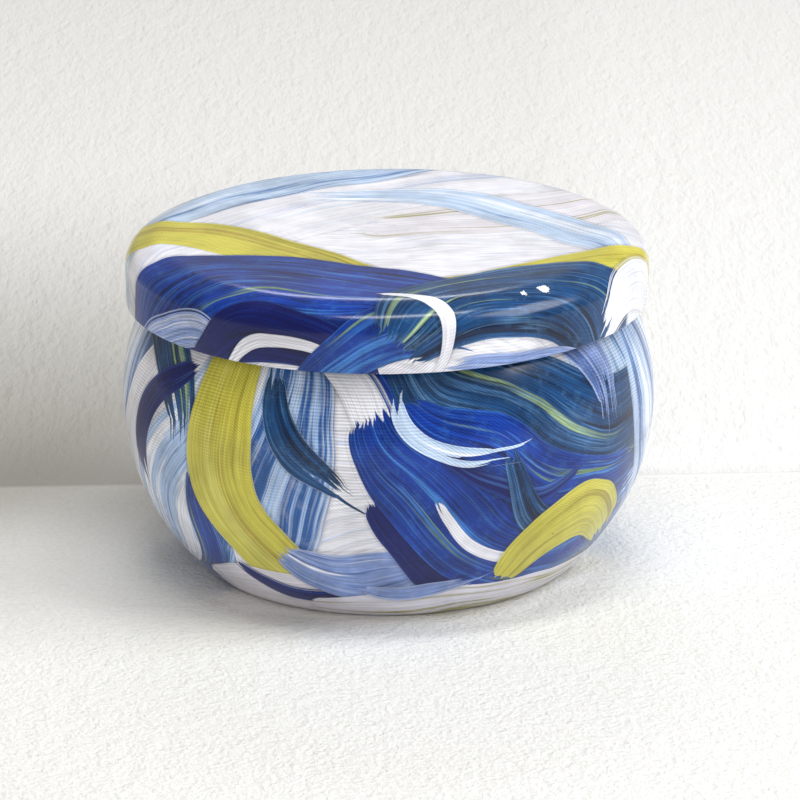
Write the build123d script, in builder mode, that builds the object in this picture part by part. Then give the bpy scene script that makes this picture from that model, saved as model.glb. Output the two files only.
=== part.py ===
from build123d import *
import math
import os

os.makedirs("parts", exist_ok=True)

# A squat drawn powder tin: a pot-bellied body and a slip-on lid. It holds talc under a sifter dish,
# a powder puff in the dish and a wad inside the lid. The origin is the middle of the base, +Z is up.

# Tinplate
sheet_t = 0.25

# Body, measured on its outside; each inset is taken from the belly's radius
belly_r = 38.5
belly_z = 25.0
foot_inset = 12.54
foot_w = 2.6
foot_slope_w = 1.0
base_panel_rise = 0.8
base_bend_r = 0.5
base_corner_r = 2.2
neck_inset = 3.85
neck_rise = 15.04
neck_bend_r = 2.0
neck_h = 4.54
curl_r = 1.22
curl_turn = 300.0

# Lid, measured on its outside
lid_h = 9.55
shoulder_w = 4.54
shoulder_drop = 2.0
panel_bend_r = 5.5
crease_bend_r = 3.4
lid_clearance = 0.2
hem_gap = 0.1
hem_h = 1.7

# Wad that fills the top of the lid
wad_t = 2.1
wad_side_clearance = 1.2
wad_shoulder_clearance = 0.25

# Sifter dish that hangs in the mouth
rest_gap = 0.05
sifter_t = 0.8
sifter_clearance = 0.25
sifter_depth = 15.6
sifter_corner_r = 2.0
sifter_lip_bend_r = 0.3
sifter_lip_inset = 0.5
hole_r = 0.9
hole_ring_pitch = 6.0
hole_rings = 4
holes_per_ring = 6

# Talc
powder_headspace = 4.7
powder_wall_gap = 0.1

# Puff that lies in the dish
puff_h = 10.0
puff_clearance = 0.85
puff_corner_r = 2.5
face_t = 3.0
pile_t = 1.5
back_t = 0.6
back_inset = 0.8
core_gap = 0.05
ribbon_w = 14.0
ribbon_t = 0.5
ribbon_end_inset = 2.5

# The belly's two arcs: the lower one meets the corner of the foot, the upper one the neck's bend
foot_r = belly_r - foot_inset
corner_drop = belly_z - base_corner_r
lower_arc_r = (foot_inset**2 + corner_drop**2 - base_corner_r**2) / (
    2 * (foot_inset - base_corner_r)
)
corner_turn = math.degrees(math.acos(corner_drop / (lower_arc_r - base_corner_r)))
neck_r = belly_r - neck_inset
upper_arc_r = ((neck_inset - neck_bend_r) ** 2 + neck_rise**2 - neck_bend_r**2) / (2 * neck_inset)
neck_turn = math.degrees(math.asin(neck_rise / (upper_arc_r + neck_bend_r)))

# Fits between the rim, the sifter, the wad and the lid
neck_inner_r = neck_r - sheet_t
rim_z = belly_z + neck_rise + neck_h + curl_r
curl_outer_r = neck_inner_r + 2 * curl_r
hem_bend_r = sheet_t + hem_gap / 2
lid_r = curl_outer_r + lid_clearance + 2 * hem_bend_r
lip_z = rim_z + rest_gap + sifter_t
lid_top_z = lip_z + wad_t + sheet_t


def bend_run(radius, turn):
    """The length that a bend of this radius takes from each of the two straights it joins."""
    return radius * math.tan(math.radians(abs(turn)) / 2)


def lay(start, steps, shift):
    """Draws straights (a length) and tangent bends (radius, turn in degrees) from start along +X,
    the whole line shifted to its left, and returns its two ends. A turn to the left is positive."""
    point = Vector(*start) + Vector(0, shift)
    heading = Vector(1, 0)
    first = point
    for step in steps:
        if isinstance(step, tuple):
            radius, turn = step
            edge = JernArc(point, heading, radius - shift * math.copysign(1, turn), turn)
        else:
            edge = Line(point, point + heading * step)
        point = edge @ 1
        heading = edge % 1
    return first, point


def lay_sheet(start, steps, thickness):
    """Draws both faces of a sheet: steps follow one face, and the other lies to the left of it."""
    near_start, near_end = lay(start, steps, 0)
    far_start, far_end = lay(start, steps, thickness)
    Line(near_start, far_start)
    Line(near_end, far_end)


# Body: the base panel, the foot, the two arcs of the belly, the neck and the curled rim
base_slope = math.degrees(math.atan2(base_panel_rise, foot_slope_w))
base_run = bend_run(base_bend_r, base_slope)
belly_steps = [
    (base_corner_r, corner_turn),
    (lower_arc_r, 90 - corner_turn),
    (upper_arc_r, neck_turn),
]
with BuildPart() as tin_body:
    with BuildSketch(Plane.XZ) as body_section:
        with BuildLine() as body_sheet:
            lay_sheet(
                (0, base_panel_rise),
                [
                    foot_r - foot_w - foot_slope_w - base_run,
                    (base_bend_r, -base_slope),
                    math.hypot(base_panel_rise, foot_slope_w) - 2 * base_run,
                    (base_bend_r, base_slope),
                    foot_w - base_run,
                    *belly_steps,
                    (neck_bend_r, -neck_turn),
                    neck_h,
                    (curl_r - sheet_t, -curl_turn),
                ],
                sheet_t,
            )
        make_face()
    revolve(axis=Axis.Z)
tin_body.part.label = "tin_body"
export_step(tin_body.part, "parts/tin_body.step")

# Lid: a flat panel, a sloped shoulder, a skirt and a hem folded up inside it
panel_r = lid_r - shoulder_w
shoulder_slope = math.degrees(math.atan2(shoulder_drop, shoulder_w))
panel_run = bend_run(panel_bend_r, shoulder_slope)
crease_run = bend_run(crease_bend_r, 90 - shoulder_slope)
with BuildPart() as lid:
    with BuildSketch(Plane.XZ) as lid_section:
        with BuildLine() as lid_sheet:
            lay_sheet(
                (0, lid_top_z),
                [
                    panel_r - panel_run,
                    (panel_bend_r, -shoulder_slope),
                    math.hypot(shoulder_drop, shoulder_w) - panel_run - crease_run,
                    (crease_bend_r, shoulder_slope - 90),
                    lid_h - shoulder_drop - crease_run - hem_bend_r,
                    (hem_bend_r, -180),
                    hem_h,
                ],
                -sheet_t,
            )
        make_face()
    revolve(axis=Axis.Z)
lid.part.label = "lid"
export_step(lid.part, "parts/lid.step")

# Wad: its rim slopes down under the lid's shoulder, and it closes on the sifter's lip
wad_r = lid_r - sheet_t - wad_side_clearance
wad_top_z = lid_top_z - sheet_t
wad_top_r = panel_r - panel_run
wad_rim_fall = (wad_r - panel_r) * math.tan(math.radians(shoulder_slope))
wad_rim_z = wad_top_z - wad_rim_fall - wad_shoulder_clearance
with BuildPart() as lid_wad:
    with BuildSketch(Plane.XZ) as wad_section:
        with BuildLine() as wad_outline:
            Polyline(
                (0, lip_z),
                (wad_r, lip_z),
                (wad_r, wad_rim_z),
                (wad_top_r, wad_top_z),
                (0, wad_top_z),
                close=True,
            )
        make_face()
    revolve(axis=Axis.Z)
lid_wad.part.label = "lid_wad"
export_step(lid_wad.part, "parts/lid_wad.step")

# Sifter: a dish that hangs by its lip on the curled rim, with rings of holes in its floor
dish_r = neck_inner_r - sifter_clearance
dish_floor_z = lip_z - sifter_depth
dish_under_z = dish_floor_z - sifter_t
with BuildPart() as sifter:
    with BuildSketch(Plane.XZ) as sifter_section:
        with BuildLine() as sifter_wall:
            lay_sheet(
                (0, dish_under_z),
                [
                    dish_r - sifter_corner_r,
                    (sifter_corner_r, 90),
                    sifter_depth - sifter_corner_r - sifter_lip_bend_r,
                    (sifter_lip_bend_r, -90),
                    curl_outer_r - sifter_lip_inset - dish_r - sifter_lip_bend_r,
                ],
                sifter_t,
            )
        make_face()
    revolve(axis=Axis.Z)
    with BuildSketch(Plane.XY.offset(dish_under_z)) as sifter_holes:
        Circle(hole_r)
        for ring in range(1, hole_rings + 1):
            with PolarLocations(ring * hole_ring_pitch, ring * holes_per_ring):
                Circle(hole_r)
    extrude(amount=sifter_t, mode=Mode.SUBTRACT)
sifter.part.label = "sifter"
export_step(sifter.part, "parts/sifter.step")

# Talc: it fills the body to a level below the sifter, and rests on the base panel
powder_bottom_z = base_panel_rise + sheet_t
powder_top_z = dish_under_z - powder_headspace
with BuildPart() as powder:
    with BuildSketch(Plane.XZ) as powder_section:
        with BuildLine() as powder_outline:
            start, end = lay((foot_r, 0), belly_steps, sheet_t + powder_wall_gap)
            Polyline(end, (0, end.Y), (0, start.Y), start)
        make_face()
    revolve(axis=Axis.Z)
    split(bisect_by=Plane.XY.offset(powder_top_z), keep=Keep.BOTTOM)
    split(bisect_by=Plane.XY.offset(powder_bottom_z), keep=Keep.TOP)
powder.part.label = "powder"
export_step(powder.part, "parts/powder.step")

# Puff: a velour face that wraps the edge, a foam core, a satin back and a finger band
puff_r = dish_r - sifter_t - puff_clearance
back_z = dish_floor_z + puff_h - back_t
core_r = puff_r - pile_t
core_z = dish_floor_z + face_t
with BuildPart() as puff_face:
    with BuildSketch(Plane.XY.offset(dish_floor_z)) as face_disc:
        Circle(puff_r)
    extrude(amount=puff_h - back_t)
    fillet(puff_face.edges().group_by(Axis.Z)[0], puff_corner_r)
    with BuildSketch(Plane.XY.offset(core_z)) as face_hollow:
        Circle(core_r)
    extrude(amount=back_z - core_z, mode=Mode.SUBTRACT)
puff_face.part.label = "puff_face"
export_step(puff_face.part, "parts/puff_face.step")

with BuildPart() as puff_core:
    with BuildSketch(Plane.XY.offset(core_z)) as core_disc:
        Circle(core_r - core_gap)
    extrude(amount=back_z - core_z)
puff_core.part.label = "puff_core"
export_step(puff_core.part, "parts/puff_core.step")

back_r = puff_r - back_inset
with BuildPart() as puff_back:
    with BuildSketch(Plane.XY.offset(back_z)) as back_disc:
        Circle(back_r)
    extrude(amount=back_t)
puff_back.part.label = "puff_back"
export_step(puff_back.part, "parts/puff_back.step")

with BuildPart() as puff_ribbon:
    with BuildSketch(Plane.XY.offset(back_z + back_t)) as ribbon_strip:
        Rectangle(2 * (back_r - ribbon_end_inset), ribbon_w)
    extrude(amount=ribbon_t)
puff_ribbon.part.label = "puff_ribbon"
export_step(puff_ribbon.part, "parts/puff_ribbon.step")
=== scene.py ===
import math

import bmesh
import bpy
import numpy as np
from mathutils import Matrix, Vector, noise


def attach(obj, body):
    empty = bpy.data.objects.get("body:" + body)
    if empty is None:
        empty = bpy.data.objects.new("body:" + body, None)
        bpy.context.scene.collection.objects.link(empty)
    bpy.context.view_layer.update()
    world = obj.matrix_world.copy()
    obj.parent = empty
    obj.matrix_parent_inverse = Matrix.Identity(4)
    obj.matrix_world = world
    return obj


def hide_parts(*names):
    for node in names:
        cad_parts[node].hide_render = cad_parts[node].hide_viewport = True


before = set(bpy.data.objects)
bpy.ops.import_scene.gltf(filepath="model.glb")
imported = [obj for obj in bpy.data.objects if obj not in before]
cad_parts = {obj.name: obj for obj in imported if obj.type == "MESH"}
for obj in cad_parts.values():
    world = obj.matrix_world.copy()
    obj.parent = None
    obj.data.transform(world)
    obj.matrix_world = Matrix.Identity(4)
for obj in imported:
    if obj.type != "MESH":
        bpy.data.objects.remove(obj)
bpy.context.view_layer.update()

MM = 0.001


# Tin body: one seamless shell drawn from a disc of printed tinplate, varnished outside and
# lacquered inside. Its rim is curled outwards, so the curl shows the inside of the sheet.
BEND_STEP, LEAST_PER_BEND, STRAIGHT_STEP = 12, 5, 3.0


def walk(start, steps, shift):
    """Points along straights (a length) and tangent bends (radius, turn in degrees) that begin at
    start and head outwards; the whole line is shifted to its left. Millimetres."""
    heading = 0.0
    x, z = start[0], start[1] + shift
    points = [(x, z)]
    for step in steps:
        if isinstance(step, tuple):
            radius, turn = step[0], math.radians(step[1])
            side = math.copysign(1, turn)
            arc_steps = math.ceil(radius * abs(turn))
            count = max(LEAST_PER_BEND, math.ceil(abs(step[1]) / BEND_STEP), arc_steps)
            radius = (radius - shift * side) * side
            centre_x = x - radius * math.sin(heading)
            centre_z = z + radius * math.cos(heading)
            for i in range(1, count + 1):
                angle = heading + turn * i / count
                ahead, up = radius * math.sin(angle), radius * math.cos(angle)
                points.append((centre_x + ahead, centre_z - up))
            heading += turn
        else:
            count = max(1, math.ceil(step / STRAIGHT_STEP))
            for i in range(1, count + 1):
                gone = step * i / count
                points.append((x + gone * math.cos(heading), z + gone * math.sin(heading)))
        x, z = points[-1]
    return points


def new_mesh(name, points, edges, faces):
    """A mesh from points in millimetres."""
    mesh = bpy.data.meshes.new(name)
    mesh.from_pydata([(x * MM, y * MM, z * MM) for x, y, z in points], edges, faces)
    return mesh


def sheet_outline(name, start, steps, thickness):
    """The section through a sheet as a row of mesh vertices. Each keeps how far it is from the
    sheet's middle along the sheet, and its side. A sheet right of its line is turned round."""
    near = walk(start, steps, 0.0)
    far = walk(start, steps, thickness)
    radii = [0.0]
    for (x0, z0), (x1, z1) in zip(near, near[1:]):
        radii.append(radii[-1] + math.hypot(x1 - x0, z1 - z0))
    rows = [(x, z, r, 0.0) for (x, z), r in zip(near, radii)]
    rows += [(x, z, r, 1.0) for (x, z), r in reversed(list(zip(far, radii)))]
    if thickness < 0:
        rows.reverse()
    mesh = new_mesh(name, [(max(x, 0.0), 0.0, z) for x, z, r, side in rows], [], [])
    for key, column in (("reach", 2), ("inside", 3)):
        layer = mesh.attributes.new(key, "FLOAT", "POINT")
        layer.data.foreach_set("value", [row[column] for row in rows])
    return mesh


def plug(tree, node, sockets):
    """Links each named or numbered input of a node, or sets it to a value."""
    for key, value in sockets.items():
        if isinstance(value, bpy.types.NodeSocket):
            tree.links.new(value, node.inputs[key])
        else:
            node.inputs[key].default_value = value


def add_node(tree, kind, sockets=None, **settings):
    """A new node with its settings and its inputs."""
    node = tree.nodes.new(kind)
    for key, value in settings.items():
        setattr(node, key, value)
    plug(tree, node, sockets or {})
    return node


def maths(tree, operation, *values):
    """The result of a Math node on up to three values."""
    values = dict(enumerate(values))
    return add_node(tree, "ShaderNodeMath", values, operation=operation).outputs[0]


def vector_maths(tree, operation, *values):
    """The result of a Vector Math node on one or two vectors, or on a vector and a scale."""
    values = dict(zip((0, "Scale" if operation == "SCALE" else 1), values))
    outputs = add_node(tree, "ShaderNodeVectorMath", values, operation=operation).outputs
    return outputs["Value" if operation in ("LENGTH", "DISTANCE") else "Vector"]


def split(tree, vector):
    """The X, Y and Z of a vector."""
    return add_node(tree, "ShaderNodeSeparateXYZ", {0: vector}).outputs


def joined(tree, x, y, z=0.0):
    """A vector from three values."""
    return add_node(tree, "ShaderNodeCombineXYZ", {"X": x, "Y": y, "Z": z}).outputs[0]


def new_geometry_tree(name, **inputs):
    """An empty Geometry Nodes tree and its inputs: geometry, and the labels given for each type."""
    tree = bpy.data.node_groups.new(name, "GeometryNodeTree")
    tree.interface.new_socket("Geometry", in_out="INPUT", socket_type="NodeSocketGeometry")
    for kind, labels in inputs.items():
        for label in labels:
            tree.interface.new_socket(label, in_out="INPUT", socket_type="NodeSocket" + kind)
    tree.interface.new_socket("Geometry", in_out="OUTPUT", socket_type="NodeSocketGeometry")
    return tree, tree.nodes.new("NodeGroupInput").outputs


def close_geometry_tree(tree, geometry, material):
    """Ends a tree: instances are made real and get their material."""
    real = add_node(tree, "GeometryNodeRealizeInstances", {0: geometry})
    given = add_node(tree, "GeometryNodeSetMaterial", {0: real.outputs[0], "Material": material})
    add_node(tree, "NodeGroupOutput", {0: given.outputs[0]})


def new_object(name, data):
    """An object in the scene, at the origin."""
    placed = bpy.data.objects.new(name, data)
    bpy.context.scene.collection.objects.link(placed)
    return placed


def finished_mesh(source):
    """The mesh that an object has after its modifiers."""
    graph = bpy.context.evaluated_depsgraph_get()
    return bpy.data.meshes.new_from_object(source.evaluated_get(graph))


def run_geometry_tree(name, mesh, tree, **inputs):
    """Runs a tree on a mesh and returns the result as a plain mesh object at the origin."""
    base = new_object(name + "_base", mesh)
    modifier = base.modifiers.new(tree.name, "NODES")
    modifier.node_group = tree
    for item in tree.interface.items_tree:
        if item.in_out == "INPUT" and item.name.replace(" ", "_") in inputs:
            modifier[item.identifier] = inputs[item.name.replace(" ", "_")]
    bpy.context.view_layer.update()
    result = finished_mesh(base)
    bpy.data.objects.remove(base)
    result.name = name
    return new_object(name, result)


def spun_sheet_tree():
    """Spins a section about Z into a closed sheet. It leaves the place on the flat printed disc, in
    millimetres, in the attribute "disc", dents the sheet very slightly inwards, and gives its
    two sides their materials."""
    tree, given = new_geometry_tree(
        "Spun sheet",
        Int=["Segments"],
        Float=["Dent depth", "Dent seed"],
        Material=["Outside", "Inside"],
    )
    section = given["Geometry"]
    rows = add_node(tree, "GeometryNodeAttributeDomainSize", {0: section}).outputs["Point Count"]
    columns = maths(tree, "ADD", given["Segments"], 1.0)
    sockets = {"Size X": 1.0, "Size Y": 1.0, "Vertices X": columns, "Vertices Y": rows}
    grid = add_node(tree, "GeometryNodeMeshGrid", sockets).outputs["Mesh"]
    index = add_node(tree, "GeometryNodeInputIndex").outputs[0]
    column = maths(tree, "FLOOR", maths(tree, "DIVIDE", index, rows))
    row = maths(tree, "SUBTRACT", index, maths(tree, "MULTIPLY", column, rows))
    turn = maths(tree, "MULTIPLY", maths(tree, "DIVIDE", column, given["Segments"]), math.tau)
    cos_turn = maths(tree, "COSINE", turn)
    sin_turn = maths(tree, "SINE", turn)

    def sampled(field, kind):
        sockets = {"Geometry": section, "Value": field, "Index": row}
        return add_node(tree, "GeometryNodeSampleIndex", sockets, data_type=kind).outputs["Value"]

    def spun(radius, height):
        along_x = maths(tree, "MULTIPLY", radius, cos_turn)
        return joined(tree, along_x, maths(tree, "MULTIPLY", radius, sin_turn), height)

    def named(key):
        return add_node(tree, "GeometryNodeInputNamedAttribute", {"Name": key}).outputs["Attribute"]

    place = sampled(add_node(tree, "GeometryNodeInputPosition").outputs[0], "FLOAT_VECTOR")
    place = split(tree, place)
    sockets = {"Geometry": grid, "Position": spun(place["X"], place["Z"])}
    sheet = add_node(tree, "GeometryNodeSetPosition", sockets).outputs[0]
    for key, kind, value in (
        ("disc", "FLOAT_VECTOR", spun(sampled(named("reach"), "FLOAT"), 0.0)),
        ("inside", "FLOAT", sampled(named("inside"), "FLOAT")),
    ):
        sockets = {"Geometry": sheet, "Name": key, "Value": value}
        sheet = add_node(tree, "GeometryNodeStoreNamedAttribute", sockets, data_type=kind).outputs[0]
    sockets = {"Geometry": sheet, "Distance": 1e-6}
    sheet = add_node(tree, "GeometryNodeMergeByDistance", sockets).outputs[0]
    sockets = {"W": given["Dent seed"], "Scale": 55.0, "Detail": 1.0}
    wobble = add_node(tree, "ShaderNodeTexNoise", sockets, noise_dimensions="4D").outputs[0]
    depth = maths(tree, "MULTIPLY", maths(tree, "MULTIPLY", wobble, given["Dent depth"]), -1.0)
    normal = add_node(tree, "GeometryNodeInputNormal").outputs[0]
    outwards = maths(tree, "SUBTRACT", 1.0, maths(tree, "MULTIPLY", named("inside"), 2.0))
    offset = vector_maths(tree, "SCALE", normal, maths(tree, "MULTIPLY", depth, outwards))
    sockets = {"Geometry": sheet, "Offset": offset}
    sheet = add_node(tree, "GeometryNodeSetPosition", sockets).outputs[0]
    sheet = add_node(tree, "GeometryNodeSetShadeSmooth", {"Geometry": sheet}).outputs[0]
    sheet = add_node(tree, "GeometryNodeRealizeInstances", {0: sheet}).outputs[0]
    sockets = {"Geometry": sheet, "Material": given["Outside"]}
    sheet = add_node(tree, "GeometryNodeSetMaterial", sockets).outputs[0]
    inner = maths(tree, "GREATER_THAN", named("inside"), 0.6)
    sockets = {"Geometry": sheet, "Selection": inner, "Material": given["Inside"]}
    sheet = add_node(tree, "GeometryNodeSetMaterial", sockets).outputs[0]
    add_node(tree, "NodeGroupOutput", {0: sheet})
    return tree


SPUN_SHEET = spun_sheet_tree()


def new_material(name):
    """A material with its tree, its surface and each point's place on the object, in metres."""
    material = bpy.data.materials.new(name)
    material.use_nodes = True
    tree = material.node_tree
    place = add_node(tree, "ShaderNodeTexCoord").outputs["Object"]
    return material, tree, tree.nodes["Principled BSDF"], place


def bumped(tree, surface, height, strength, distance):
    """Gives a surface relief that is this many metres deep."""
    sockets = {"Height": height, "Strength": strength, "Distance": distance}
    plug(tree, surface, {"Normal": add_node(tree, "ShaderNodeBump", sockets).outputs[0]})


def mixed(tree, factor, a, b):
    """Colour a, turning to colour b as factor goes from 0 to 1."""
    a, b = ((*colour, 1.0) if isinstance(colour, tuple) else colour for colour in (a, b))
    return add_node(tree, "ShaderNodeMix", {0: factor, 6: a, 7: b}, data_type="RGBA").outputs[2]


def turned_into(tree, factor, a, b):
    """Vector a, turning to vector b as factor goes from 0 to 1."""
    return add_node(tree, "ShaderNodeMix", {0: factor, 4: a, 5: b}, data_type="VECTOR").outputs[1]


def ramped(tree, value, low, high, out_low=0.0, out_high=1.0):
    """A smooth step of value from low to high."""
    return add_node(
        tree,
        "ShaderNodeMapRange",
        {0: value, 1: low, 2: high, 3: out_low, 4: out_high},
        interpolation_type="SMOOTHSTEP",
        clamp=False,
    ).outputs[0]


def noisy(tree, vector, scale, detail=2.0, roughness=0.5):
    """A noise pattern's value."""
    sockets = {"Vector": vector, "Scale": scale, "Detail": detail, "Roughness": roughness}
    return add_node(tree, "ShaderNodeTexNoise", sockets).outputs[0]


STROKE_SIZES = ("Aside", "Up", "Radius", "Start", "Sweep", "Way", "Half width", "Raggedness", "Seed")


def stroke_group():
    """One stroke of a loaded brush along an arc, from a point's place relative to the arc's middle.
    It gives the brushed grain, the cover with its ragged ends, the shadow that the thick edge
    casts on the paint under it, and the edge itself. Millimetres and radians."""
    tree = bpy.data.node_groups.new("Brush stroke", "ShaderNodeTree")
    for label in STROKE_SIZES:
        tree.interface.new_socket(label, in_out="INPUT", socket_type="NodeSocketFloat")
    tree.interface.new_socket("Grain", in_out="OUTPUT", socket_type="NodeSocketVector")
    for label in ("Cover", "Shadow", "Edge"):
        tree.interface.new_socket(label, in_out="OUTPUT", socket_type="NodeSocketFloat")
    given = tree.nodes.new("NodeGroupInput").outputs
    reach = maths(tree, "MULTIPLY", given["Aside"], given["Aside"])
    reach = maths(tree, "SQRT", maths(tree, "MULTIPLY_ADD", given["Up"], given["Up"], reach))
    half_sweep = maths(tree, "MULTIPLY", given["Sweep"], 0.5)
    turned = maths(tree, "ARCTAN2", given["Up"], given["Aside"])
    turned = maths(tree, "SUBTRACT", turned, given["Start"])
    turned = maths(tree, "SUBTRACT", maths(tree, "MULTIPLY", turned, given["Way"]), half_sweep)
    angle = maths(tree, "ADD", maths(tree, "WRAP", turned, math.pi, -math.pi), half_sweep)
    along = maths(tree, "MULTIPLY", angle, given["Radius"])
    length = maths(tree, "MULTIPLY", given["Sweep"], given["Radius"])
    across = maths(tree, "SUBTRACT", reach, given["Radius"])
    share = maths(tree, "DIVIDE", along, length)
    share = add_node(tree, "ShaderNodeClamp", {"Value": share}).outputs[0]
    swell = maths(tree, "SINE", maths(tree, "MULTIPLY", share, math.pi))
    swell = maths(tree, "MULTIPLY_ADD", maths(tree, "POWER", swell, 0.6), 0.5, 0.5)
    breadth = maths(tree, "MULTIPLY", given["Half width"], swell)
    hair = maths(tree, "DIVIDE", across, swell)
    hair = maths(tree, "MULTIPLY_ADD", given["Seed"], 31.7, hair)
    grain = joined(tree, hair, maths(tree, "MULTIPLY", along, 0.03), given["Seed"])
    sockets = {"W": hair, "Scale": 0.7, "Detail": 2.0, "Roughness": 0.65}
    bristles = add_node(tree, "ShaderNodeTexNoise", sockets, noise_dimensions="1D").outputs[0]
    rag = maths(tree, "MULTIPLY", maths(tree, "SUBTRACT", bristles, 0.5), given["Raggedness"])
    from_side = maths(tree, "SUBTRACT", breadth, maths(tree, "ABSOLUTE", across))
    from_side = maths(tree, "MULTIPLY_ADD", rag, 0.1, from_side)
    from_start = maths(tree, "MULTIPLY_ADD", rag, 0.3, along)
    from_end = maths(tree, "ADD", maths(tree, "SUBTRACT", length, along), rag)
    depth = maths(tree, "SMOOTH_MIN", from_start, from_end, 2.0)
    depth = maths(tree, "SMOOTH_MIN", depth, from_side, 2.0)
    cover = ramped(tree, depth, -0.05, 0.1)
    shadow = ramped(tree, depth, -0.7, 0.0)
    edge = ramped(tree, depth, 0.12, 0.45, 1.0, 0.0)
    add_node(tree, "NodeGroupOutput", {0: grain, 1: cover, 2: shadow, 3: edge})
    return tree


BRUSH_STROKE = stroke_group()


def stroke_arc(start, end, bow):
    """The middle, radius, first angle, sweep and way round (1 or -1) of the arc between two points
    that bows to the left of its chord by this much."""
    first, last = Vector(start), Vector(end)
    chord = last - first
    radius = (chord.length_squared / 4 + bow * bow) / (2 * abs(bow))
    way = -math.copysign(1, bow)
    left = Vector((-chord.y, chord.x)).normalized()
    middle = (first + last) / 2 + left * (bow + way * radius)
    begin, finish = (math.atan2(p.y - middle.y, p.x - middle.x) for p in (first, last))
    return middle, radius, begin, ((finish - begin) * way) % math.tau, way


# Each paint's darkest streaks, its body, its lightest streaks and what was still in the brush.
PAINTS = {
    "navy": ((0.001, 0.002, 0.02), (0.001, 0.006, 0.11), (0.01, 0.05, 0.3), (0.04, 0.12, 0.4)),
    "cobalt": ((0.001, 0.01, 0.085), (0.002, 0.034, 0.28), (0.04, 0.17, 0.5), (0.16, 0.27, 0.12)),
    "teal": ((0.001, 0.01, 0.04), (0.006, 0.05, 0.16), (0.08, 0.2, 0.4), (0.25, 0.36, 0.2)),
    "periwinkle": ((0.06, 0.12, 0.34), (0.2, 0.29, 0.58), (0.56, 0.63, 0.85), (0.76, 0.79, 0.92)),
    "sky": ((0.08, 0.2, 0.46), (0.46, 0.6, 0.82), (0.78, 0.83, 0.94), (0.84, 0.87, 0.95)),
    "white": ((0.5, 0.58, 0.8), (0.78, 0.79, 0.88), (0.84, 0.85, 0.92), (0.62, 0.7, 0.84)),
    "marbled": ((0.02, 0.1, 0.34), (0.36, 0.51, 0.78), (0.82, 0.85, 0.94), (0.03, 0.12, 0.4)),
    "lemon": ((0.34, 0.29, 0.03), (0.57, 0.53, 0.075), (0.66, 0.63, 0.15), (0.42, 0.31, 0.05)),
    "straw": ((0.34, 0.31, 0.07), (0.73, 0.72, 0.82), (0.82, 0.81, 0.89), (0.54, 0.51, 0.2)),
}
# How deep each paint's ridges are, how mixed its streaks are and how light its thick edge is.
HANDLING = {
    "navy": (0.5, 0.65, 0.5),
    "cobalt": (1.0, 1.05, 0.2),
    "teal": (1.1, 1.0, 0.3),
    "periwinkle": (0.7, 0.9, 0.4),
    "sky": (0.5, 1.2, 0.2),
    "white": (0.4, 0.55, 0.3),
    "marbled": (0.5, 1.3, 0.3),
    "lemon": (0.45, 0.9, 0.2),
    "straw": (0.3, 1.25, 0.3),
}


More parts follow.
